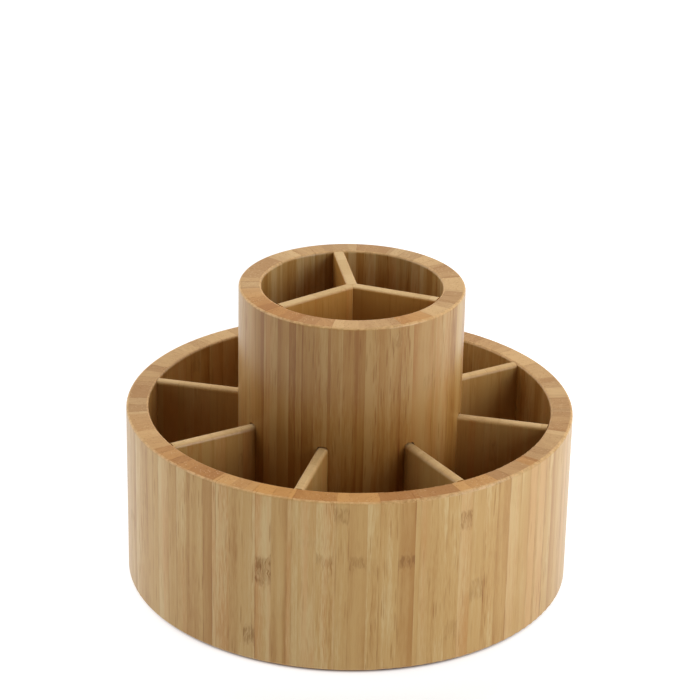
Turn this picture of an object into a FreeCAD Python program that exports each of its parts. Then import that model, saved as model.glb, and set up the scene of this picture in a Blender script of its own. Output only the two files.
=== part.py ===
import FreeCAD, Part
import math
import os

# Turning bamboo organizer: a round drum with compartments round a taller divided cup.
# The floor of the drum rides on a pressed-steel ball swivel, on a base disc with rubber feet.
# All sizes are millimetres. +Z is up, Z = 0 is the table, and the Z axis is the turning axis.

# Drum, the outer wall
DRUM_DIAMETER = 220.0
DRUM_HEIGHT = 88.0
DRUM_WALL = 11.0
DRUM_LIFT = 2.0
REBATE_DEPTH = 4.0

# Cup, the taller ring in the middle
CUP_DIAMETER = 110.0
CUP_WALL = 11.0
CUP_RISE = 62.5
CUP_SEAT_DEPTH = 2.0

# Rounded edges of the turned pieces
RIM_ROUND = 1.3
LOWER_ROUND = 1.0

# Panels that part the drum and the cup
DRUM_PANELS = 8
DRUM_PANEL_THICKNESS = 5.5
DRUM_PANEL_ROUND = 2.0
CUP_PANELS = 3
CUP_PANEL_THICKNESS = 5.5
CUP_PANEL_ROUND = 1.2
PANEL_DROP = 0.2

# Grooves that hold the panels
DRUM_GROOVE_DEPTH = 3.0
CUP_OUTER_GROOVE_DEPTH = 3.0
CUP_INNER_GROOVE_DEPTH = 3.0
GROOVE_HEADROOM = 0.8
BLIND_STOP = 10.0

# Floor and swivel base
FLOOR_THICKNESS = 8.0
BASE_THICKNESS = 7.0
BASE_GAP = 11.0
BASE_BEVEL = 1.0
ACCESS_HOLE = 14.0

# Rubber feet
FOOT_COUNT = 6
FOOT_DIAMETER = 14.0
FOOT_PROUD = 2.0
FOOT_RECESS = 1.0
FOOT_INSET = 12.0
FOOT_BEVEL = 0.6

# Ball swivel
BALL_COUNT = 12
BALL_DIAMETER = 5.0
BALL_CIRCLE = 64.0
PLATE_SIZE = 102.0
PLATE_CORNER = 10.0
PLATE_THICKNESS = 1.0
PLATE_GAP = 3.0
RACE_LAND = 3.0
RAMP_RUN = 3.0
SWIVEL_SPARE = 0.4
COLLAR_WALL = 1.0
COLLAR_LIP = 3.0
COLLAR_LAND = 1.4

# Screws that hold the swivel plates, one at each corner
PLATE_SCREWS = 4
SCREW_SHANK = 3.4
SCREW_HEAD = 7.0
SCREW_HEAD_HEIGHT = 1.8
SCREW_HEAD_BEVEL = 0.8
SCREW_BITE = 5.0
SCREW_TIP = 1.5
SCREW_CROSS_LENGTH = 4.0
SCREW_CROSS_WIDTH = 0.9
SCREW_CROSS_DEPTH = 1.0
PLATE_HOLE = 4.5
PLATE_HOLE_INSET = 9.7

# Clearances
GLUE_GAP = 0.05
WOOD_CLEARANCE = 0.1
RACE_CLEARANCE = 0.1
COLLAR_CLEARANCE = 0.1
PILOT_CLEARANCE = 0.05
PILOT_SPARE = 0.4
CUT_OVER = 1.0

# Ball race, measured from the middle of a ball: its two faces, and the plate's flat faces
RACE_TOP = BALL_DIAMETER / 2 + RACE_CLEARANCE
RACE_UNDER = RACE_TOP + PLATE_THICKNESS
LAND_TOP = PLATE_GAP / 2
LAND_UNDER = LAND_TOP + PLATE_THICKNESS
RACE_TOP_HALF = math.sqrt(RACE_TOP**2 - LAND_TOP**2)
RACE_UNDER_HALF = math.sqrt(RACE_UNDER**2 - LAND_UNDER**2)
COLLAR_REACH = LAND_UNDER + COLLAR_CLEARANCE + COLLAR_WALL
SWIVEL_HALF = max(RACE_UNDER, COLLAR_REACH) + SWIVEL_SPARE

# Heights, from the table up
BASE_BOTTOM = FOOT_PROUD
BASE_TOP = BASE_BOTTOM + BASE_THICKNESS
FLANGE_TOP = BASE_TOP + PLATE_THICKNESS
SWIVEL_MIDDLE = BASE_TOP + SWIVEL_HALF
FLOOR_BOTTOM = SWIVEL_MIDDLE + SWIVEL_HALF
FLOOR_TOP = FLOOR_BOTTOM + FLOOR_THICKNESS
DRUM_TOP = DRUM_LIFT + DRUM_HEIGHT
DRUM_PANEL_TOP = DRUM_TOP - PANEL_DROP
CUP_BOTTOM = FLOOR_TOP - CUP_SEAT_DEPTH
CUP_TOP = DRUM_TOP + CUP_RISE
CUP_PANEL_TOP = CUP_TOP - PANEL_DROP

# Radii, from the turning axis out
DRUM_OUTER = DRUM_DIAMETER / 2
DRUM_INNER = DRUM_OUTER - DRUM_WALL
REBATE_RADIUS = DRUM_INNER + REBATE_DEPTH
CUP_OUTER = CUP_DIAMETER / 2
CUP_INNER = CUP_OUTER - CUP_WALL
BASE_EDGE = REBATE_RADIUS - BASE_GAP
FOOT_RADIUS = FOOT_DIAMETER / 2
FOOT_ORBIT = BASE_EDGE - FOOT_INSET
BALL_ORBIT = BALL_CIRCLE / 2
RACE_LAND_END = BALL_ORBIT + RACE_UNDER_HALF + RACE_LAND
RAMP_END = RACE_LAND_END + RAMP_RUN
COLLAR_LIP_END = BALL_ORBIT - RACE_UNDER_HALF - COLLAR_LAND
COLLAR_OUTER = COLLAR_LIP_END - COLLAR_LIP
COLLAR_INNER = COLLAR_OUTER - COLLAR_WALL
SCREW_CORNER = PLATE_SIZE / 2 - PLATE_HOLE_INSET
SCREW_ORBIT = math.hypot(SCREW_CORNER, SCREW_CORNER)

# Angles of the first of each set, in degrees: a compartment faces front, and so does a part of the cup
DRUM_PANEL_TURN = 180.0 / DRUM_PANELS
CUP_PANEL_TURN = 90.0
LOWER_PLATE_TURN = 180.0 / PLATE_SCREWS
UPPER_PLATE_TURN = 2 * LOWER_PLATE_TURN

ORIGIN = FreeCAD.Vector(0, 0, 0)
UP = FreeCAD.Vector(0, 0, 1)
ALONG = FreeCAD.Vector(1, 0, 0)


def in_plan(u, v):
    """A point of an outline seen from above."""
    return FreeCAD.Vector(u, v, 0)


def in_turning_section(u, v):
    """A point of a half section: u is the radius and v the height."""
    return FreeCAD.Vector(u, 0, v)


def in_panel_section(u, v):
    """A point of a panel's cross-section: u runs across the panel and v up."""
    return FreeCAD.Vector(0, u, v)


def corner_points(before, here, after, radius):
    """The points that a rounded corner passes through: its start, middle and end."""
    if radius <= 0:
        return [here]
    back = (before - here).normalize()
    ahead = (after - here).normalize()
    half_angle = back.getAngle(ahead) / 2
    start = here + back * (radius / math.tan(half_angle))
    end = here + ahead * (radius / math.tan(half_angle))
    inward = (back + ahead).normalize()
    middle = here + inward * (radius / math.sin(half_angle) - radius)
    return [start, middle, end]


def rounded_face(corners, to_point):
    """Flat face bounded by (u, v, radius) corners, each rounded by its own radius."""
    points = [to_point(u, v) for u, v, _ in corners]
    rounds = [
        corner_points(points[i - 1], points[i], points[(i + 1) % len(points)], corners[i][2])
        for i in range(len(points))
    ]
    edges = []
    for i, corner in enumerate(rounds):
        if len(corner) == 3:
            edges.append(Part.Arc(*corner).toShape())
        start_of_next = rounds[(i + 1) % len(rounds)][0]
        if corner[-1].distanceToPoint(start_of_next) > Part.Precision.confusion():
            edges.append(Part.LineSegment(corner[-1], start_of_next).toShape())
    return Part.Face(Part.Wire(edges))


def turned(corners):
    """Solid of revolution about the turning axis, from the corners of its half section."""
    return rounded_face(corners, in_turning_section).revolve(ORIGIN, UP, 360)


def rod(radius, bottom, top, orbit=0.0):
    """Upright cylinder between two heights, at a distance from the turning axis."""
    return Part.makeCylinder(radius, top - bottom, FreeCAD.Vector(orbit, 0, bottom))


def spun(shape, angle):
    """Copy of a shape turned about the turning axis by an angle in degrees."""
    copy = shape.copy()
    copy.rotate(ORIGIN, UP, angle)
    return copy


def spun_copies(shape, count, first_angle):
    """Evenly spaced copies of a shape round the turning axis."""
    return [spun(shape, first_angle + i * 360.0 / count) for i in range(count)]


def long_bar(start, end, thickness, bottom, top, top_round):
    """Upright panel along X, from one radius to another, with its top edges rounded."""
    half = thickness / 2
    edge = min(top_round, half)
    section = rounded_face(
        [(-half, bottom, 0), (half, bottom, 0), (half, top, edge), (-half, top, edge)],
        in_panel_section,
    )
    bar = section.extrude(ALONG * (end - start))
    bar.translate(ALONG * start)
    return bar


def panel_groove(start, end, panel_thickness, bottom, top, panel_round):
    """Cutter for an upright groove that follows the rounded top of the panel that it holds."""
    width = panel_thickness + 2 * WOOD_CLEARANCE
    return long_bar(start, end, width, bottom, top, panel_round + WOOD_CLEARANCE)


def blind_groove(start, end, panel_thickness, bottom, tongue_top):
    """Cutter for a groove with a half-round top, wholly above the square tongue that it holds."""
    width = panel_thickness + 2 * WOOD_CLEARANCE
    return long_bar(start, end, width, bottom, tongue_top + width / 2, width / 2)


def flat_end(wall_radius, thickness):
    """Where a flat-ended panel stops inside a round wall, with both corners clear of it."""
    return math.sqrt(wall_radius**2 - (thickness / 2) ** 2) - GLUE_GAP


def drum_wall():
    """Turned outer wall, with a rebate below for the floor and a blind groove for each panel."""
    wall = turned([
        (DRUM_INNER, DRUM_TOP, RIM_ROUND),
        (DRUM_OUTER, DRUM_TOP, RIM_ROUND),
        (DRUM_OUTER, DRUM_LIFT, LOWER_ROUND),
        (REBATE_RADIUS, DRUM_LIFT, 0),
        (REBATE_RADIUS, FLOOR_TOP, 0),
        (DRUM_INNER, FLOOR_TOP, 0),
    ])
    groove = blind_groove(
        DRUM_INNER - CUT_OVER,
        DRUM_INNER + DRUM_GROOVE_DEPTH,
        DRUM_PANEL_THICKNESS,
        FLOOR_TOP - CUT_OVER,
        DRUM_PANEL_TOP - BLIND_STOP,
    )
    return wall.cut(spun_copies(groove, DRUM_PANELS, DRUM_PANEL_TURN))


def cup_wall():
    """Turned cup, open at both ends, with grooves outside and blind grooves inside."""
    wall = turned([
        (CUP_INNER, CUP_TOP, RIM_ROUND),
        (CUP_OUTER, CUP_TOP, RIM_ROUND),
        (CUP_OUTER, CUP_BOTTOM, 0),
        (CUP_INNER, CUP_BOTTOM, 0),
    ])
    outside = panel_groove(
        CUP_OUTER - CUP_OUTER_GROOVE_DEPTH,
        CUP_OUTER + CUT_OVER,
        DRUM_PANEL_THICKNESS,
        CUP_BOTTOM - CUT_OVER,
        DRUM_PANEL_TOP + GROOVE_HEADROOM,
        DRUM_PANEL_ROUND,
    )
    inside = blind_groove(
        CUP_INNER - CUT_OVER,
        CUP_INNER + CUP_INNER_GROOVE_DEPTH,
        CUP_PANEL_THICKNESS,
        CUP_BOTTOM - CUT_OVER,
        CUP_PANEL_TOP - BLIND_STOP,
    )
    outside_grooves = spun_copies(outside, DRUM_PANELS, DRUM_PANEL_TURN)
    inside_grooves = spun_copies(inside, CUP_PANELS, CUP_PANEL_TURN)
    return wall.cut(outside_grooves + inside_grooves)


def tongue_shoulder(panel, shoulder, end, thickness, panel_top):
    """Panel with its outer end cut back above the blind tongue, so that no groove shows."""
    notch = Part.makeBox(
        end - shoulder + CUT_OVER,
        thickness + 2 * CUT_OVER,
        BLIND_STOP + CUT_OVER,
        FreeCAD.Vector(shoulder, -thickness / 2 - CUT_OVER, panel_top - BLIND_STOP),
    )
    return panel.cut(notch)


def drum_panel():
    """Radial panel that stands on the floor, between the cup and the drum wall."""
    start = CUP_OUTER - CUP_OUTER_GROOVE_DEPTH + WOOD_CLEARANCE
    end = DRUM_INNER + DRUM_GROOVE_DEPTH - WOOD_CLEARANCE
    shoulder = flat_end(DRUM_INNER, DRUM_PANEL_THICKNESS)
    panel = long_bar(
        start, end, DRUM_PANEL_THICKNESS, FLOOR_TOP, DRUM_PANEL_TOP, DRUM_PANEL_ROUND
    )
    return tongue_shoulder(panel, shoulder, end, DRUM_PANEL_THICKNESS, DRUM_PANEL_TOP)


def cup_panel():
    """Panel of the cup, mitred to meet the others on the turning axis."""
    end = CUP_INNER + CUP_INNER_GROOVE_DEPTH - WOOD_CLEARANCE
    shoulder = flat_end(CUP_INNER, CUP_PANEL_THICKNESS)
    panel = long_bar(0, end, CUP_PANEL_THICKNESS, FLOOR_TOP, CUP_PANEL_TOP, CUP_PANEL_ROUND)
    half_turn = math.pi / CUP_PANELS
    tip = GLUE_GAP / math.sin(half_turn)
    half_width = CUP_PANEL_THICKNESS / 2 + CUT_OVER
    mitre_end = tip + half_width / math.tan(half_turn)
    mitre = rounded_face(
        [
            (tip, 0, 0),
            (mitre_end, -half_width, 0),
            (end + CUT_OVER, -half_width, 0),
            (end + CUT_OVER, half_width, 0),
            (mitre_end, half_width, 0),
        ],
        in_plan,
    ).extrude(UP * (CUP_TOP + CUT_OVER))
    pointed = panel.common(mitre)
    return tongue_shoulder(pointed, shoulder, end, CUP_PANEL_THICKNESS, CUP_PANEL_TOP)


def floor_disc():
    """Floor of drum and cup, let into the drum's rebate, with a ring-shaped seat for the cup."""
    edge = REBATE_RADIUS - WOOD_CLEARANCE
    seat_inner = CUP_INNER - WOOD_CLEARANCE
    seat_outer = CUP_OUTER + WOOD_CLEARANCE
    disc = turned([
        (0, FLOOR_BOTTOM, 0),
        (edge, FLOOR_BOTTOM, 0),
        (edge, FLOOR_TOP, 0),
        (seat_outer, FLOOR_TOP, 0),
        (seat_outer, CUP_BOTTOM, 0),
        (seat_inner, CUP_BOTTOM, 0),
        (seat_inner, FLOOR_TOP, 0),
        (0, FLOOR_TOP, 0),
    ])
    pilot = rod(
        SCREW_SHANK / 2 + PILOT_CLEARANCE,
        FLOOR_BOTTOM - CUT_OVER,
        FLOOR_BOTTOM + SCREW_BITE + PILOT_SPARE,
        orbit=SCREW_ORBIT,
    )
    return disc.cut(spun_copies(pilot, PLATE_SCREWS, UPPER_PLATE_TURN))


def base_disc():
    """Disc that stands still on the feet and carries the swivel.

    Its round hole lets a screwdriver reach the upper plate's screws, one by one.
    """
    disc = turned([
        (0, BASE_BOTTOM, 0),
        (BASE_EDGE - BASE_BEVEL, BASE_BOTTOM, 0),
        (BASE_EDGE, BASE_BOTTOM + BASE_BEVEL, 0),
        (BASE_EDGE, BASE_TOP - BASE_BEVEL, 0),
        (BASE_EDGE - BASE_BEVEL, BASE_TOP, 0),
        (0, BASE_TOP, 0),
    ])
    pilot = rod(
        SCREW_SHANK / 2 + PILOT_CLEARANCE,
        BASE_TOP - SCREW_BITE - PILOT_SPARE,
        BASE_TOP + CUT_OVER,
        orbit=SCREW_ORBIT,
    )
    recess = rod(
        FOOT_RADIUS + WOOD_CLEARANCE,
        BASE_BOTTOM - CUT_OVER,
        BASE_BOTTOM + FOOT_RECESS,
        orbit=FOOT_ORBIT,
    )
    access = rod(ACCESS_HOLE / 2, BASE_BOTTOM - CUT_OVER, BASE_TOP + CUT_OVER, orbit=SCREW_ORBIT)
    pilots = spun_copies(pilot, PLATE_SCREWS, LOWER_PLATE_TURN)
    recesses = spun_copies(recess, FOOT_COUNT, 0)
    return disc.cut(pilots + recesses + [spun(access, UPPER_PLATE_TURN)])


def rubber_feet():
    """Round pads, each let into its recess in the base."""
    top = BASE_BOTTOM + FOOT_RECESS
    foot = turned([
        (0, 0, 0),
        (FOOT_RADIUS - FOOT_BEVEL, 0, 0),
        (FOOT_RADIUS, FOOT_BEVEL, 0),
        (FOOT_RADIUS, top, 0),
        (0, top, 0),
    ])
    foot.translate(ALONG * FOOT_ORBIT)
    return Part.makeCompound(spun_copies(foot, FOOT_COUNT, 0))


def pressed_ring():
    """Middle of a swivel plate: a ball race between flat lands, and a ramp down to the flange."""
    upper_face = SWIVEL_MIDDLE - LAND_TOP
    lower_face = SWIVEL_MIDDLE - LAND_UNDER
    hole = COLLAR_OUTER + COLLAR_CLEARANCE
    inner_lip = (BALL_ORBIT - RACE_TOP_HALF, upper_face)
    outer_lip = (BALL_ORBIT + RACE_TOP_HALF, upper_face)
    inner_root = (BALL_ORBIT - RACE_UNDER_HALF, lower_face)
    outer_root = (BALL_ORBIT + RACE_UNDER_HALF, lower_face)
    stretches = [
        [(hole, upper_face), inner_lip],
        [inner_lip, (BALL_ORBIT, SWIVEL_MIDDLE - RACE_TOP), outer_lip],
        [outer_lip, (RACE_LAND_END, upper_face)],
        [(RACE_LAND_END, upper_face), (RAMP_END, FLANGE_TOP)],
        [(RAMP_END, FLANGE_TOP), (RAMP_END, BASE_TOP)],
        [(RAMP_END, BASE_TOP), (RACE_LAND_END, lower_face)],
        [(RACE_LAND_END, lower_face), outer_root],
        [outer_root, (BALL_ORBIT, SWIVEL_MIDDLE - RACE_UNDER), inner_root],
        [inner_root, (hole, lower_face)],
        [(hole, lower_face), (hole, upper_face)],
    ]
    edges = []
    for stretch in stretches:
        points = [in_turning_section(radius, height) for radius, height in stretch]
        curve = Part.Arc(*points) if len(points) == 3 else Part.LineSegment(*points)
        edges.append(curve.toShape())
    return Part.Face(Part.Wire(edges)).revolve(ORIGIN, UP, 360)


def pressed_plate():
    """Lower swivel plate: a square flange with screw holes round its pressed middle."""
    half = PLATE_SIZE / 2
    corners = [(-half, -half), (half, -half), (half, half), (-half, half)]
    flange = rounded_face([(x, y, PLATE_CORNER) for x, y in corners], in_plan)
    flange = flange.extrude(UP * PLATE_THICKNESS)
    flange.translate(UP * BASE_TOP)
    opening = rod(RAMP_END, BASE_TOP - CUT_OVER, FLANGE_TOP + CUT_OVER)
    screw_hole = rod(PLATE_HOLE / 2, BASE_TOP - CUT_OVER, FLANGE_TOP + CUT_OVER, orbit=SCREW_ORBIT)
    flange = flange.cut([opening] + spun_copies(screw_hole, PLATE_SCREWS, LOWER_PLATE_TURN))
    return flange.fuse(pressed_ring()).removeSplitter()


def flipped_over_swivel(shape):
    """Copy of a shape turned upside down about the swivel's middle height."""
    copy = shape.copy()
    copy.rotate(FreeCAD.Vector(0, 0, SWIVEL_MIDDLE), ALONG, 180)
    return copy


def upper_plate():
    """Upper swivel plate: the lower one upside down, turned so that its screws can be reached."""
    return spun(flipped_over_swivel(pressed_plate()), UPPER_PLATE_TURN - LOWER_PLATE_TURN)


def swivel_collar():
    """Eyelet that is closed on the lower plate and runs free over the upper one."""
    lower_seat = SWIVEL_MIDDLE - LAND_UNDER
    upper_seat = SWIVEL_MIDDLE + LAND_UNDER + COLLAR_CLEARANCE
    bottom = lower_seat - COLLAR_WALL
    top = upper_seat + COLLAR_WALL
    return turned([
        (COLLAR_INNER, bottom, 0),
        (COLLAR_LIP_END, bottom, 0),
        (COLLAR_LIP_END, lower_seat, 0),
        (COLLAR_OUTER, lower_seat, 0),
        (COLLAR_OUTER, upper_seat, 0),
        (COLLAR_LIP_END, upper_seat, 0),
        (COLLAR_LIP_END, top, 0),
        (COLLAR_INNER, top, 0),
    ])


def swivel_balls():
    """Ring of loose steel balls between the two races."""
    ball = Part.makeSphere(BALL_DIAMETER / 2, FreeCAD.Vector(BALL_ORBIT, 0, SWIVEL_MIDDLE))
    return Part.makeCompound(spun_copies(ball, BALL_COUNT, 0))


def plate_screw():
    """Pan-head screw, point down, with its head on the lower plate's flange."""
    top = FLANGE_TOP + SCREW_HEAD_HEIGHT
    point = BASE_TOP - SCREW_BITE
    screw = turned([
        (0, point, 0),
        (SCREW_SHANK / 2, point + SCREW_TIP, 0),
        (SCREW_SHANK / 2, FLANGE_TOP, 0),
        (SCREW_HEAD / 2, FLANGE_TOP, 0),
        (SCREW_HEAD / 2, top - SCREW_HEAD_BEVEL, 0),
        (SCREW_HEAD / 2 - SCREW_HEAD_BEVEL, top, 0),
        (0, top, 0),
    ])
    arm = Part.makeBox(
        SCREW_CROSS_LENGTH,
        SCREW_CROSS_WIDTH,
        SCREW_CROSS_DEPTH + CUT_OVER,
        FreeCAD.Vector(-SCREW_CROSS_LENGTH / 2, -SCREW_CROSS_WIDTH / 2, top - SCREW_CROSS_DEPTH),
    )
    screw = screw.cut([arm, spun(arm, 90)])
    screw.translate(ALONG * SCREW_ORBIT)
    return screw


def lower_screws():
    """Screws that hold the lower plate to the base."""
    return Part.makeCompound(spun_copies(plate_screw(), PLATE_SCREWS, LOWER_PLATE_TURN))


def upper_screws():
    """Screws that hold the upper plate to the floor, driven from below."""
    screw = flipped_over_swivel(plate_screw())
    return Part.makeCompound(spun_copies(screw, PLATE_SCREWS, UPPER_PLATE_TURN))


def all_nodes():
    """Every sub-part of the organizer, by the name of its node."""
    nodes = {
        "drum_wall": drum_wall(),
        "cup_wall": cup_wall(),
        "floor_disc": floor_disc(),
        "swivel_upper_plate": upper_plate(),
        "swivel_upper_screws": upper_screws(),
        "swivel_balls": swivel_balls(),
        "swivel_lower_plate": pressed_plate(),
        "swivel_collar": swivel_collar(),
        "swivel_lower_screws": lower_screws(),
        "base_disc": base_disc(),
        "rubber_feet": rubber_feet(),
    }
    for i, panel in enumerate(spun_copies(drum_panel(), DRUM_PANELS, DRUM_PANEL_TURN)):
        nodes[f"drum_panel_{i + 1}"] = panel
    for i, panel in enumerate(spun_copies(cup_panel(), CUP_PANELS, CUP_PANEL_TURN)):
        nodes[f"cup_panel_{i + 1}"] = panel
    return nodes


os.makedirs("parts", exist_ok=True)
for name, shape in all_nodes().items():
    shape.exportStep(os.path.join("parts", name + ".step"))
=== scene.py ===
"""Looks of the turning bamboo organizer: lacquered bamboo, a zinc-plated swivel and rubber feet.

The part stands on a white light table. Lengths in the patterns are millimetres, and the scene is in metres.
Along means along the bamboo's fibres, across means over a lamination from strip to strip, and depth is the
third direction, into the board.
"""
import math

import bpy
from mathutils import Matrix, Vector


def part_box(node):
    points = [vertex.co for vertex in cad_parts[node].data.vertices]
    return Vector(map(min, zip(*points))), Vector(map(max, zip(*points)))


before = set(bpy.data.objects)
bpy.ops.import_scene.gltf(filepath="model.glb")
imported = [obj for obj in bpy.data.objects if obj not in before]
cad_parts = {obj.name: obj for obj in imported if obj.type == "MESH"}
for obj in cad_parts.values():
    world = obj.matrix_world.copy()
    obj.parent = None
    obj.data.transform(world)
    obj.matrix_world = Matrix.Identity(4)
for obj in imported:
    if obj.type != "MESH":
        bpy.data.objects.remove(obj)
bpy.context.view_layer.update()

# Units
MM = 0.001
PER_METRE = 1000.0

# Sizes of the part that the patterns follow, in millimetres
drum_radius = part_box("drum_wall")[1].x / MM
drum_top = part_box("drum_wall")[1].z / MM
cup_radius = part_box("cup_wall")[1].x / MM
cup_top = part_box("cup_wall")[1].z / MM

# The photograph's camera: angles in degrees, lengths in millimetres
CAMERA_AZIMUTH = -9.3
CAMERA_ELEVATION = 23.54
CAMERA_ROLL = 1.21
CAMERA_DISTANCE = 1220.3
CAMERA_LENS = 128.25
SENSOR_WIDTH = 36.0
AIM_HEIGHT = 117.7
AIM_SIDE = -0.4

# Soft boxes: azimuths in degrees from the front of the part, lengths in metres, powers in watts
LAMP_AIM_HEIGHT = 0.07
RIGHT_BOX = {"azimuth": 46, "height": 0.62, "distance": 1.5, "size": (0.9, 1.1), "power": 13.5}
LEFT_BOX = {"azimuth": -92, "height": 0.62, "distance": 1.5, "size": (0.9, 1.1), "power": 3.9}
TOP_BOX = {"azimuth": 180, "height": 1.7, "distance": 0.45, "size": (1.3, 1.3), "power": 8.6}

# Sky: brightness at the back and at the front, and how far towards them it is reached
BACK_SKY = 1.10
FRONT_SKY = 0.05
SKY_TURN = 0.6

# Light table: half its width in metres, its white, its glow in each place, and reaches in millimetres
FLOOR_HALF = 6.0
FLOOR_WHITE = 0.50
FLOOR_ROUGHNESS = 0.9
FLOOR_GLOW = 0.58
LEFT_GLOW = 0.76
RIGHT_GLOW = 0.90
SIDE_REACH = 220.0
FAR_GLOW = 1.00
FAR_REACH = (400.0, 1200.0)
# Round the base the glow fills in the table's shade; under the drum it stops, which paints a thin shadow line
BASE_GLOW = 0.77
BASE_REACH = 35.0
SHADE_REACH = (4.0, 1.0)

# Bamboo colours. Ends have a darkest and a lightest
MID = (0.475, 0.288, 0.094)
DARK = (0.370, 0.182, 0.040)
LIGHT = (0.555, 0.394, 0.178)
RIM_ENDS = ((0.440, 0.250, 0.100), (0.650, 0.440, 0.212))
PANEL_ENDS = ((0.545, 0.342, 0.134), (0.665, 0.452, 0.214))
PALE_FLECK = (0.690, 0.490, 0.250)
# Painted highlight on the upper rounded edges
PAINTED_EDGE_HIGHLIGHT = (0.690, 0.430, 0.190)

# Tints, which a bamboo colour is multiplied by
RED_TINT = (0.93, 0.77, 0.62)
RED_END_TINT = (0.89, 0.65, 0.36)
FIBRE_DARK = (0.68, 0.53, 0.32)
KNUCKLE_DARK = (0.54, 0.41, 0.18)
# Painted shade inside the drum and low in the cup, a darker and warmer colour
PAINTED_INSIDE_SHADE = (0.97, 0.82, 0.65)
# A browner tone for the cup's front, with painted shade in it
BROWN_STAIN_AND_PAINTED_SHADE = (0.73, 0.62, 0.455)
# A warmer, more golden tone for the cup's panels, with painted warm bounce light in it
GOLDEN_TONE_AND_PAINTED_BOUNCE = (1.12, 0.90, 0.62)
NO_SIDE_TINT = (1.0, 1.0, 1.0)

# Laminations: widths in millimetres, a seed that picks the staves, and the contrast between strips
DRUM_STAVES = {"strip": 8.4, "stave": 21.0, "seed": 4.0, "contrast": 1.0}
CUP_STAVES = {"strip": 6.8, "stave": 18.0, "seed": 31.5, "contrast": 1.5}
DRUM_PANEL_STAVES = {"strip": 7.5, "stave": 19.0, "seed": 13.0, "contrast": 0.5}
CUP_PANEL_STAVES = {"strip": 7.5, "stave": 19.0, "seed": 29.0, "contrast": 0.5}
BOARD_STAVES = {"strip": 18.0, "stave": 54.0, "seed": 47.0, "contrast": 0.8}
STAVE_UNEVEN = 0.35
STRIP_UNEVEN = 0.55

# Steps that give each stave, strip and panel random numbers and streaks of its own
STAVE_SHIFT = 50.0
STRIP_KEY_STEP = 17.3
SECOND_DRAW = 0.37
STRIP_APART = 71.0
PANEL_APART = 311.0

# Azimuths of the rings' sides with painted colour, where more redder ends stand in for the paler reflected
# light on the other sides and the cup gets its brown tint, and the first angle and step of the panels, in
# degrees
DRUM_PAINTED_SIDE = -9.0
CUP_PAINTED_SIDE = -20.0
DRUM_PANEL_ANGLES = (22.5, 45.0)
CUP_PANEL_ANGLES = (90.0, 120.0)

# Bamboo noise: bumps for each millimetre over the fibres and along them, and detail
SWERVE = (0.30, 0.22, 1.5)
WAVER = (0.05, 0.03, 1.0)
BROAD = (0.26, 0.008, 1.0)
STREAK = (0.75, 0.030, 1.5)
FINE = (2.1, 0.150, 2.0)
PATCH = (0.12, 0.03, 1.0)
RAGGED = (0.6, 0.3, 1.0)
SQUIGGLE = (1.5, 0.16, 1.5)
SPECKLED = (0.07, 0.07, 1.0)
# Speckle of the painted edge highlight
EDGE_HIGHLIGHT_SPECKLE = (0.55, 0.55, 2.0)
WORN = (0.3, 0.05, 1.0)

# How much each thing counts in the shade of the bamboo's sides, and the shade in the middle
STRIP_SHADE = 0.65
BROAD_SHADE = 0.95
DRIFT_SHADE = 0.6
LEAN_SHADE = 0.9
STREAK_SHADE = 0.45
THREAD_SHADE = 0.17
MIDDLE_SHADE = 0.58

# Knuckles and bent fibres, in millimetres
INTERNODE = 220.0
KNUCKLE_HALF = 2.0
KNUCKLE_HALF_SPREAD = 4.0
KNUCKLE_BOW = 16.0
KNUCKLE_RAGGED = 7.0
KNUCKLE_FADE = 1.5
SWERVE_REACH = 8.0
SWERVE_WIDTH = 5.0
WAVER_WIDTH = 2.0

# Knuckles that show on the drum's front: azimuth, height, half height and strength
FRONT_KNUCKLES = [
    (-34.3, 15.0, 4.5, 0.80),
    (-30.0, 50.0, 7.0, 0.95),
    (-14.8, 59.0, 2.5, 0.50),
    (-10.9, 83.5, 4.0, 0.55),
    (-5.4, 59.0, 2.5, 0.50),
    (6.7, 59.0, 3.0, 0.70),
    (20.3, 75.0, 4.5, 0.75),
    (22.5, 38.0, 3.0, 0.35),
]

# Painted shade inside, in millimetres: in from a ring's outer face, above and below the drum's rim, out from
# the cup and down in it. The last is its share in the cup, and in the drum far from the cup
INSIDE_BEGINS = 7.0
INSIDE_FULL = 10.0
SHELTER_BEGINS = 50.0
SHELTER_FULL = 25.0
CUP_SHELTER_REACH = 25.0
CUP_SHELTER_DEPTH = 20.0
PART_SHELTER = 0.35

# Lacquer, and depths of relief in metres
LACQUER_IOR = 1.46
LACQUER_BUMP = 0.05 * MM
RUBBER_BUMP = 0.08 * MM

# Metal and rubber: the two colours that each drifts between
ZINC = ((0.46, 0.47, 0.49), (0.66, 0.66, 0.63))
STEEL = ((0.60, 0.61, 0.63), (0.42, 0.40, 0.36))
RUBBER = ((0.022, 0.022, 0.023), (0.060, 0.058, 0.055))


# Node trees

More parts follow.
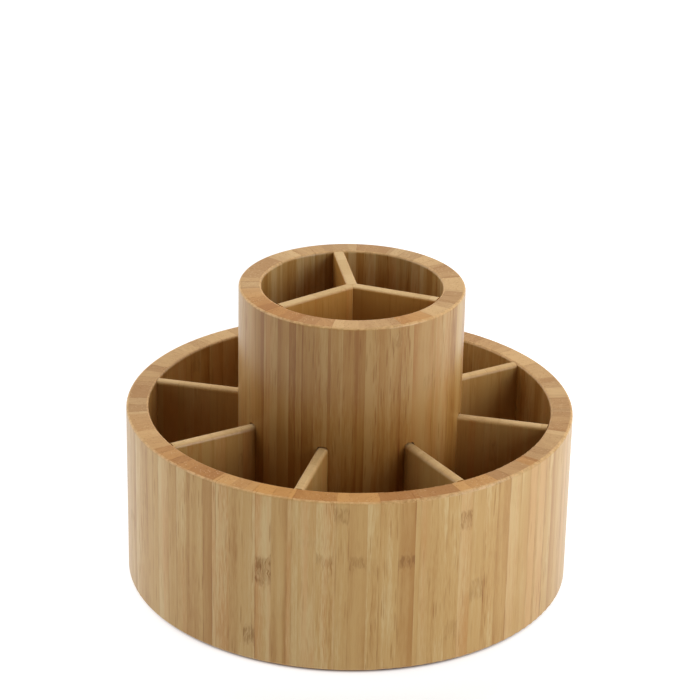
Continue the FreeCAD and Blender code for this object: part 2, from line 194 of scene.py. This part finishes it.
class Wire:
    """One value in a node tree.

    Arithmetic on wires adds Math nodes, so that a pattern reads as a formula.
    """

    def __init__(self, tree, socket):
        self.tree = tree
        self.socket = socket

    def math(self, operation, *others):
        node = new_node(self.tree, "Math", operation=operation)
        for socket, value in zip(node.inputs, (self, *others)):
            plug(socket, value)
        return Wire(self.tree, node.outputs[0])

    def __add__(self, other):
        return self.math("ADD", other)

    def __sub__(self, other):
        return self.math("SUBTRACT", other)

    def __mul__(self, other):
        return self.math("MULTIPLY", other)

    def __truediv__(self, other):
        return self.math("DIVIDE", other)

    def __abs__(self):
        return self.math("ABSOLUTE")

    def step(self, low, high, to_low=0.0, to_high=1.0):
        """Rises smoothly from to_low to to_high as the value goes from low to high."""
        node = new_node(self.tree, "MapRange", interpolation_type="SMOOTHSTEP")
        names = ("Value", "From Min", "From Max", "To Min", "To Max")
        for name, value in zip(names, (self, low, high, to_low, to_high)):
            plug(node.inputs[name], value)
        return Wire(self.tree, node.outputs["Result"])

    def blend(self, other, share):
        """This value where share is 0, the other where it is 1."""
        node = new_node(self.tree, "Mix", data_type="FLOAT")
        for socket, value in zip((node.inputs[0], node.inputs[2], node.inputs[3]), (share, self, other)):
            plug(socket, value)
        return Wire(self.tree, node.outputs[0])

    def bell(self, width):
        """1 where the value is 0, falling to 0 on both sides over about twice the width."""
        ratio = self / width
        return (ratio * ratio * -1.0).math("EXPONENT")

    def between(self, first, second):
        """The first colour where this value is 0, the second where it is 1."""
        return mixed_colour(self.tree, "MIX", self, first, second)

    def tinted(self, tint, share):
        """This colour where share is 0, and multiplied by the tint where it is 1."""
        return mixed_colour(self.tree, "MULTIPLY", share, self, tint)


def new_node(tree, kind, **settings):
    node = tree.nodes.new("ShaderNode" + kind)
    for name, value in settings.items():
        setattr(node, name, value)
    return node


def plug(socket, value):
    """Links a wire to a socket, or sets the socket to a plain value."""
    if isinstance(value, Wire):
        value.tree.links.new(value.socket, socket)
    else:
        socket.default_value = value


def mixed_colour(tree, blend, share, first, second):
    node = new_node(tree, "Mix", data_type="RGBA", blend_type=blend, clamp_factor=True)
    plug(node.inputs[0], share)
    for socket, colour in ((node.inputs[6], first), (node.inputs[7], second)):
        plug(socket, (*colour, 1.0) if isinstance(colour, tuple) else colour)
    return Wire(tree, node.outputs[2])


def joined(x, y, z):
    node = new_node(x.tree, "CombineXYZ")
    for socket, value in zip(node.inputs, (x, y, z)):
        plug(socket, value)
    return Wire(x.tree, node.outputs[0])


def parted(wire):
    node = new_node(wire.tree, "SeparateXYZ")
    plug(node.inputs[0], wire)
    return [Wire(wire.tree, socket) for socket in node.outputs]


def noise(x, y, z, detail=2.0, roughness=0.5):
    """Soft noise about 0.5, one bump for each unit of x, y and z."""
    node = new_node(x.tree, "TexNoise", noise_dimensions="3D")
    plug(node.inputs["Vector"], joined(x, y, z))
    plug(node.inputs["Scale"], 1.0)
    plug(node.inputs["Detail"], detail)
    plug(node.inputs["Roughness"], roughness)
    return Wire(x.tree, node.outputs["Fac"])


def grain(place, scale):
    """Soft noise that is stretched along the fibres, with one of the scales named at the top."""
    across, depth, along = place
    over_fibres, along_fibres, detail = scale
    return noise(across * over_fibres, depth * over_fibres, along * along_fibres, detail)


def bundles(x, y, z):
    """Small separate dots about one unit apart, each as dark as its own draw."""
    node = new_node(x.tree, "TexVoronoi", voronoi_dimensions="3D", feature="F1")
    plug(node.inputs["Vector"], joined(x, y, z))
    plug(node.inputs["Scale"], 1.0)
    draw = parted(Wire(x.tree, node.outputs["Color"]))[0]
    return Wire(x.tree, node.outputs["Distance"]).step(0.42, 0.22) * draw.step(0.25, 1.0)


def cells(place, feature, output, randomness):
    """Uneven strips along a line, each about one unit wide."""
    node = new_node(place.tree, "TexVoronoi", voronoi_dimensions="1D", feature=feature)
    plug(node.inputs["W"], place)
    plug(node.inputs["Scale"], 1.0)
    plug(node.inputs["Randomness"], randomness)
    return Wire(place.tree, node.outputs[output])


def draws(key):
    """Four even random numbers from 0 to 1 that belong to the key."""
    node = new_node(key.tree, "TexWhiteNoise", noise_dimensions="1D")
    plug(node.inputs["W"], key)
    return [Wire(key.tree, node.outputs["Value"]), *parted(Wire(key.tree, node.outputs["Color"]))]


def bumped(height, strength, distance):
    """Normal of a surface with a small relief."""
    node = new_node(height.tree, "Bump")
    plug(node.inputs["Height"], height)
    plug(node.inputs["Strength"], strength)
    plug(node.inputs["Distance"], distance)
    return Wire(height.tree, node.outputs["Normal"])


def new_material(name):
    """A new material, its node tree and its Principled shader."""
    material = bpy.data.materials.new(name)
    material.use_nodes = True
    return material, material.node_tree, material.node_tree.nodes["Principled BSDF"]


def own_place(tree):
    """The point in millimetres in its piece's own frame, so that a pattern turns with its piece."""
    node = new_node(tree, "TexCoord")
    return [axis * PER_METRE for axis in parted(Wire(tree, node.outputs["Object"]))]


def own_normal(tree):
    node = new_node(tree, "TexCoord")
    return parted(Wire(tree, node.outputs["Normal"]))


def from_axis(x, y):
    """Distance from the part's upright axis."""
    return (x * x + y * y).math("SQRT")


def on_side(x, y, azimuth):
    """1 on the side of a ring that faces an azimuth from the front, falling to 0 at a right angle to it."""
    angle = math.radians(azimuth)
    return ((x * math.sin(angle) - y * math.cos(angle)) / from_axis(x, y)).step(0.0, 0.85)


# Bamboo

def painted_shade_share(tree):
    """Share of painted shade inside: most low on the cup, less further from it, none in the open."""
    x, y, z = own_place(tree)
    reach = from_axis(x, y)
    in_drum = reach.step(drum_radius - INSIDE_BEGINS, drum_radius - INSIDE_FULL)
    in_drum = in_drum * z.step(drum_top + SHELTER_BEGINS, drum_top - SHELTER_FULL)
    in_drum = in_drum * reach.step(cup_radius + CUP_SHELTER_REACH, cup_radius, PART_SHELTER, 1.0)
    in_cup = reach.step(cup_radius - INSIDE_BEGINS, cup_radius - INSIDE_FULL)
    low_in_cup = z.step(cup_top, cup_top - CUP_SHELTER_DEPTH, 0.0, PART_SHELTER)
    return in_drum * (in_cup * -1.0 + 1.0) + in_cup * low_in_cup


class Bamboo:
    """Lacquered bamboo: staves glued side by side, each laminated from strips.

    Place is across, depth and along. Endwise is 1 where the surface cuts the fibres square, and 0 along them.
    """

    def __init__(self, place, endwise, strip, stave, seed, contrast):
        self.place = place
        self.across, self.depth, self.along = place
        self.endwise = endwise
        self.strip = strip
        self.contrast = contrast
        self.mark_contrast = min(contrast, 1.0)
        self.draw_staves(stave, seed)
        self.draw_strips()

    def draw_staves(self, stave, seed):
        """Which stave a point is in, how far it is from a seam, and the stave's own random numbers."""
        lane = self.across / stave + seed
        self.stave_middle = cells(lane, "F1", "W", STAVE_UNEVEN)
        self.stave_seam = cells(lane, "DISTANCE_TO_EDGE", "Distance", STAVE_UNEVEN) * stave
        self.stave_tone, self.stave_tilt, self.stave_shift, self.stave_mark = draws(self.stave_middle)

    def draw_strips(self):
        """The same for the strips, which begin at a place of their own in each stave."""
        shift = self.stave_shift * STAVE_SHIFT
        lane = self.across / self.strip + shift
        middle = cells(lane, "F1", "W", STRIP_UNEVEN)
        self.seam = cells(lane, "DISTANCE_TO_EDGE", "Distance", STRIP_UNEVEN) * self.strip
        self.strip_key = middle + self.stave_middle * STRIP_KEY_STEP
        self.tone, self.hue, self.phase, self.busy = draws(self.strip_key)
        self.seam_draw, self.knot_draw, self.bow_draw, self.lean_draw = draws(self.strip_key + SECOND_DRAW)
        self.sideways = lane - middle
        self.strip_place = (middle - shift) * self.strip
        self.run = self.along + self.phase * INTERNODE

    def pass_knuckles(self, known):
        """Each strip passes a knuckle once in an internode, most of them faint. Known ones replace them."""
        above = ((self.run / INTERNODE).math("FRACT") - 0.5) * INTERNODE
        half_height = self.knot_draw * KNUCKLE_HALF_SPREAD + KNUCKLE_HALF
        strength = self.bow_draw.step(0.5, 1.0, 0.10, 0.45)
        for known_across, known_along, known_half, known_strength in known:
            here = abs(self.strip_place - known_across).math("LESS_THAN", self.strip * 0.35)
            above = above.blend(self.along - known_along, here)
            half_height = half_height.blend(known_half, here)
            strength = strength.blend(known_strength, here)
        self.above = above + self.sideways * self.sideways * (self.bow_draw - 0.5) * KNUCKLE_BOW
        self.half_height = half_height
        self.strength = strength

    def bend_fibres(self):
        """The fibres waver, and swerve round a knuckle."""
        swerve = grain(self.place, SWERVE) - 0.5
        waver = grain(self.place, WAVER) - 0.5
        swerve = swerve * self.above.bell(SWERVE_REACH) * self.strength * SWERVE_WIDTH
        self.line = self.across + swerve + waver * WAVER_WIDTH + self.phase * STRIP_APART
        self.fibre = (self.line, self.depth, self.run)

    def shade_strips(self):
        """Streaks of three widths run along the fibres, and a strip is denser towards one side."""
        self.broad = grain(self.fibre, BROAD) - 0.5
        self.fine = grain(self.fibre, FINE) - 0.5
        self.lean = self.sideways * (self.lean_draw - 0.5)
        streak = grain(self.fibre, STREAK) - 0.5
        thread = self.fine.step(-0.13, 0.13) - 0.5
        drift = noise(self.strip_key * 3.1, self.lean_draw * 9.0, self.run * 0.022, 1.0) - 0.5
        streaky = self.busy.step(0.0, 1.0, 0.5, 1.3)
        whole = (self.tone - 0.5) * STRIP_SHADE + self.broad * BROAD_SHADE
        whole = whole + drift * DRIFT_SHADE + self.lean * LEAN_SHADE
        lines = (streak * STREAK_SHADE + thread * THREAD_SHADE) * streaky
        self.shade = whole * self.contrast + lines * self.mark_contrast + MIDDLE_SHADE

    def mark_bundles(self):
        """Single dark vascular bundles: fine lines along the sides, more in some strips and patches."""
        patch = grain(self.fibre, PATCH)
        crowd = (self.busy * 0.8 + self.lean * 0.8 + patch - 0.40).step(0.0, 0.8, 0.12, 0.8)
        dots = bundles(self.line * 0.9, self.depth * 0.9, self.run * 0.065)
        self.dash = dots * (crowd * self.mark_contrast)

    def mark_knuckles(self):
        """A knuckle is a ragged patch of short squiggly dashes with pale flecks between."""
        ragged = grain(self.place, RAGGED) - 0.5
        off_middle = abs(self.above + ragged * KNUCKLE_RAGGED)
        within = off_middle.step(self.half_height + KNUCKLE_FADE, self.half_height - KNUCKLE_FADE)
        within = within * self.strength
        squiggle = grain((self.line, self.depth, self.along), SQUIGGLE)
        self.knot = (squiggle.step(0.47, 0.60) * 0.6 + 0.38) * within
        self.fleck = squiggle.step(0.42, 0.30) * within

    def side_colour(self):
        colour = self.shade.step(0.0, 0.58).between(DARK, MID)
        colour = self.shade.step(0.52, 1.05).between(colour, LIGHT)
        redness = (self.hue + self.broad * 1.2 - (self.shade - 0.55) * 0.4).step(0.55, 0.95)
        return colour.tinted(RED_TINT, redness)

    def end_colour(self, ends, red_ends):
        """On the ends, each stave has a tone of its own and grain that crosses it at a slant."""
        slant = self.across + self.depth * (self.stave_tilt - 0.5) * 1.6
        ray = noise(slant * 0.6, self.depth * 0.12, self.stave_middle * 5.0) - 0.5
        shade = (self.stave_tone - 0.5) * 0.8 + (self.tone - 0.5) * 0.5 + ray * 0.5
        colour = (shade * self.mark_contrast + 0.5).step(0.0, 1.0).between(*ends)
        colour = colour.tinted(RED_END_TINT, self.stave_mark.step(-0.2, 0.65) * red_ends)
        speck = bundles(slant * 0.85, self.depth * 0.75, self.along * 0.05)
        speckled = grain(self.place, SPECKLED).step(0.40, 0.62, 0.05, 0.5)
        return (speck * speckled * self.mark_contrast).between(colour, PALE_FLECK)

    def painted_edge_highlight(self):
        """Share of a painted highlight on edges that face up."""
        edge = self.endwise.step(0.10, 0.60) * self.endwise.step(0.998, 0.93)
        edge = edge * own_normal(self.endwise.tree)[2].step(0.0, 0.1)
        return edge * grain(self.place, EDGE_HIGHLIGHT_SPECKLE).step(0.42, 0.62, 0.4, 0.9) * self.mark_contrast

    def glue_lines(self):
        """Dark glue in some of the seams, and only in stretches."""
        strip_glue = self.seam.step(0.8, 0.15) * self.seam_draw.step(0.6, 1.0)
        stave_glue = self.stave_seam.step(0.60, 0.05) * self.stave_mark.step(0.0, 1.0, 0.25, 1.0)
        return strip_glue.math("MAXIMUM", stave_glue) * grain(self.place, WORN).step(0.35, 0.65)

    def paint(self, shader, ends, red_ends=0.0, side_tint=NO_SIDE_TINT, side_tint_share=1.0, known=()):
        """Colours a Principled shader.

        Ends are the colours of the end grain, and red ends the share of redder staves in it. The side tint is
        for the sides, a stain that holds painted shade on the cup's front and painted bounce light on the
        cup's panels.
        Known lists knuckles by where they are across and along, half height and strength.
        """
        self.pass_knuckles(known)
        self.bend_fibres()
        self.shade_strips()
        self.mark_bundles()
        self.mark_knuckles()
        end_share = self.endwise.step(0.35, 0.85)
        glue = self.glue_lines()
        # Side tint: on the cup's front a browner tone with painted shade, on the cup's panels a warmer tone
        # with painted warm bounce light
        side = self.side_colour().tinted(side_tint, side_tint_share)
        # Painted shade: the sides turn darker and warmer inside the drum and low in the cup
        side = side.tinted(PAINTED_INSIDE_SHADE, painted_shade_share(self.endwise.tree))
        colour = end_share.between(side, self.end_colour(ends, red_ends))
        colour = colour.tinted(FIBRE_DARK, self.dash * 0.9)
        colour = colour.tinted(KNUCKLE_DARK, self.knot)
        colour = (self.fleck * 0.35).between(colour, PALE_FLECK)
        # Painted highlight along the upper rounded edges, broken into speckles
        colour = self.painted_edge_highlight().between(colour, PAINTED_EDGE_HIGHLIGHT)
        colour = colour.tinted(FIBRE_DARK, glue * self.mark_contrast * 0.75)
        rough = self.fine * 0.16 + self.dash * 0.10 + self.knot * 0.12
        rough = rough + end_share.step(0.8, 1.0) * 0.40 + 0.35
        relief = self.fine * 0.5 - self.dash * 0.5 - self.knot * 0.6 - glue * 0.5
        plug(shader.inputs["Base Color"], colour)
        plug(shader.inputs["Roughness"], rough)
        plug(shader.inputs["Normal"], bumped(relief, 0.35, LACQUER_BUMP))
        shader.inputs["IOR"].default_value = LACQUER_IOR


def bamboo_ring(name, radius, staves, painted_side, side_tint, seen_knuckles=()):
    """Staves set round a ring, with their fibres upright and end grain on the rims.

    The painted side is the azimuth from the front that has most of the redder ends and of the side tint. The
    redder ends gathered there are painted: they stand in for the paler reflected light on the rim's other
    sides.
    Seen knuckles are listed by azimuth, height, half height and strength.
    """
    material, tree, shader = new_material(name)
    x, y, z = own_place(tree)
    across = y.math("ARCTAN2", x) * radius
    wood = Bamboo((across, from_axis(x, y), z), abs(own_normal(tree)[2]), **staves)
    painted_side_share = on_side(x, y, painted_side)
    known = [(math.radians(azimuth - 90) * radius, *rest) for azimuth, *rest in seen_knuckles]
    # Painted: redder ends gather on one side in place of the paler reflected light on the others
    wood.paint(shader, RIM_ENDS, painted_side_share * 0.7 + 0.3, side_tint, painted_side_share, known)
    return material


def bamboo_panels(name, angles, staves, side_tint):
    """Radial panels, with their fibres upright. Each panel has strips of its own."""
    material, tree, shader = new_material(name)
    x, y, z = own_place(tree)
    first_angle, step_angle = [math.radians(angle) for angle in angles]
    angle = y.math("ARCTAN2", x) - first_angle
    off_angle = angle.math("WRAP", step_angle / 2, -step_angle / 2)
    which = (angle - off_angle) / step_angle
    reach = from_axis(x, y)
    across = reach * off_angle.math("COSINE") + which * PANEL_APART
    depth = reach * off_angle.math("SINE")
    wood = Bamboo((across, depth, z), abs(own_normal(tree)[2]), **staves)
    wood.paint(shader, PANEL_ENDS, side_tint=side_tint)
    return material


def bamboo_board(name, staves):
    """A flat disc of strips side by side, with their fibres along X."""
    material, tree, shader = new_material(name)
    x, y, z = own_place(tree)
    wood = Bamboo((y, z, x), abs(own_normal(tree)[0]), **staves)
    wood.paint(shader, RIM_ENDS)
    return material


# Metal and rubber

def zinc_plate(name):
    """Bright zinc plating with faint cloudy passivation and rolling marks."""
    material, tree, shader = new_material(name)
    x, y, z = own_place(tree)
    cloud = noise(x * 0.09, y * 0.09, z * 0.09, 4.0, 0.6)
    mark = noise(x * 0.12, y * 2.6, z * 2.6, 3.0, 0.6)
    plug(shader.inputs["Base Color"], cloud.step(0.3, 0.7).between(*ZINC))
    plug(shader.inputs["Roughness"], cloud * 0.18 + mark * 0.16 + 0.16)
    shader.inputs["Metallic"].default_value = 1.0
    return material


def ball_steel(name):
    """Polished steel with a thin, uneven film of grease."""
    material, tree, shader = new_material(name)
    x, y, z = own_place(tree)
    film = noise(x * 0.9, y * 0.9, z * 0.9, 3.0, 0.6)
    plug(shader.inputs["Base Color"], film.step(0.4, 0.8).between(*STEEL))
    plug(shader.inputs["Roughness"], film.step(0.35, 0.75, 0.08, 0.34))
    shader.inputs["Metallic"].default_value = 1.0
    return material


def foot_rubber(name):
    """Dull grey-black rubber with a fine moulded grain and a dusty sheen."""
    material, tree, shader = new_material(name)
    x, y, z = own_place(tree)
    moulded = noise(x * 3.5, y * 3.5, z * 3.5, 3.0, 0.65)
    dust = noise(x * 0.25, y * 0.25, z * 0.25, 3.0)
    plug(shader.inputs["Base Color"], dust.step(0.35, 0.8).between(*RUBBER))
    plug(shader.inputs["Roughness"], moulded * 0.2 + 0.62)
    plug(shader.inputs["Normal"], bumped(moulded, 0.4, RUBBER_BUMP))
    return material


def dress(material, *names):
    """Gives a material to each CAD node whose name starts with one of these."""
    for node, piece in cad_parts.items():
        if node.startswith(names):
            piece.material_slots[0].material = material


# Studio

def at_azimuth(azimuth, distance, height):
    angle = math.radians(azimuth)
    return Vector((math.sin(angle) * distance, -math.cos(angle) * distance, height))


def facing(place, target):
    """Matrix at place whose -Z looks at target, with Y up."""
    back = (place - target).normalized()
    right = Vector((0, 0, 1)).cross(back).normalized()
    up = back.cross(right)
    return Matrix.Translation(place) @ Matrix((right, up, back)).transposed().to_4x4()


def soft_box(name, azimuth, height, distance, size, power):
    lamp = bpy.data.lights.new(name, "AREA")
    lamp.shape = "RECTANGLE"
    lamp.size, lamp.size_y = size
    lamp.energy = power
    box = bpy.data.objects.new(name, lamp)
    box.matrix_world = facing(at_azimuth(azimuth, distance, height), Vector((0, 0, LAMP_AIM_HEIGHT)))
    bpy.context.scene.collection.objects.link(box)


def table_glow(tree):
    """Brighter at the sides and far off, evened round the base to fill in shade, with a painted shadow under
    it.
    """
    x, y, _ = own_place(tree)
    right = x.step(0, SIDE_REACH, FLOOR_GLOW, RIGHT_GLOW)
    left = x.step(0, -SIDE_REACH, FLOOR_GLOW, LEFT_GLOW)
    far = abs(y).step(*FAR_REACH, FLOOR_GLOW, FAR_GLOW)
    glow = right.math("MAXIMUM", left).math("MAXIMUM", far)
    reach = from_axis(x, y)
    # Painted light and shadow: glow evened round the base fills in shade, and none under the drum paints a
    # shadow line
    glow = glow.blend(BASE_GLOW, reach.step(drum_radius + BASE_REACH, drum_radius))
    shade_start, shade_end = SHADE_REACH
    return glow * reach.step(drum_radius - shade_start, drum_radius - shade_end)


def light_table():
    mesh = bpy.data.meshes.new("light_table")
    corners = [(-1, -1), (1, -1), (1, 1), (-1, 1)]
    mesh.from_pydata([(x * FLOOR_HALF, y * FLOOR_HALF, 0) for x, y in corners], [], [(0, 1, 2, 3)])
    table = bpy.data.objects.new("light_table", mesh)
    bpy.context.scene.collection.objects.link(table)
    material, tree, shader = new_material("light_table")
    shader.inputs["Base Color"].default_value = (FLOOR_WHITE, FLOOR_WHITE, FLOOR_WHITE, 1)
    shader.inputs["Roughness"].default_value = FLOOR_ROUGHNESS
    shader.inputs["Specular IOR Level"].default_value = 0.0
    shader.inputs["Emission Color"].default_value = (1, 1, 1, 1)
    plug(shader.inputs["Emission Strength"], table_glow(tree))
    mesh.materials.append(material)


def sky():
    """White behind the part, dim behind the camera."""
    world = bpy.data.worlds.new("studio")
    bpy.context.scene.world = world
    world.use_nodes = True
    tree = world.node_tree
    towards_back = parted(Wire(tree, new_node(tree, "TexCoord").outputs["Generated"]))[1]
    background = tree.nodes["Background"]
    background.inputs["Color"].default_value = (1, 1, 1, 1)
    plug(background.inputs["Strength"], towards_back.step(-SKY_TURN, SKY_TURN, FRONT_SKY, BACK_SKY))


def photo_camera():
    lens = bpy.data.cameras.new("photo_camera")
    lens.lens = CAMERA_LENS
    lens.sensor_width = SENSOR_WIDTH
    camera = bpy.data.objects.new("photo_camera", lens)
    elevation = math.radians(CAMERA_ELEVATION)
    level = CAMERA_DISTANCE * MM * math.cos(elevation)
    offset = at_azimuth(CAMERA_AZIMUTH, level, CAMERA_DISTANCE * MM * math.sin(elevation))
    side = at_azimuth(CAMERA_AZIMUTH + 90, AIM_SIDE * MM, 0)
    aim = Vector((0, 0, AIM_HEIGHT * MM)) + side
    camera.matrix_world = facing(aim + offset, aim) @ Matrix.Rotation(math.radians(CAMERA_ROLL), 4, "Z")
    bpy.context.scene.collection.objects.link(camera)
    bpy.context.scene.camera = camera


dress(
    bamboo_ring("bamboo_drum", drum_radius, DRUM_STAVES, DRUM_PAINTED_SIDE, NO_SIDE_TINT, FRONT_KNUCKLES),
    "drum_wall",
)
dress(bamboo_ring("bamboo_cup", cup_radius, CUP_STAVES, CUP_PAINTED_SIDE, BROWN_STAIN_AND_PAINTED_SHADE), "cup_wall")
dress(bamboo_panels("bamboo_drum_panels", DRUM_PANEL_ANGLES, DRUM_PANEL_STAVES, NO_SIDE_TINT), "drum_panel")
# The cup's panels get a warmer tone with painted warm bounce light
dress(bamboo_panels("bamboo_cup_panels", CUP_PANEL_ANGLES, CUP_PANEL_STAVES, GOLDEN_TONE_AND_PAINTED_BOUNCE), "cup_panel")
dress(bamboo_board("bamboo_boards", BOARD_STAVES), "floor_disc", "base_disc")
dress(zinc_plate("zinc_plate"), "swivel_lower", "swivel_upper", "swivel_collar")
dress(ball_steel("ball_steel"), "swivel_balls")
dress(foot_rubber("foot_rubber"), "rubber_feet")
light_table()
sky()
soft_box("right_box", **RIGHT_BOX)
soft_box("left_box", **LEFT_BOX)
soft_box("top_box", **TOP_BOX)
photo_camera()
bpy.context.scene.view_settings.view_transform = "Standard"
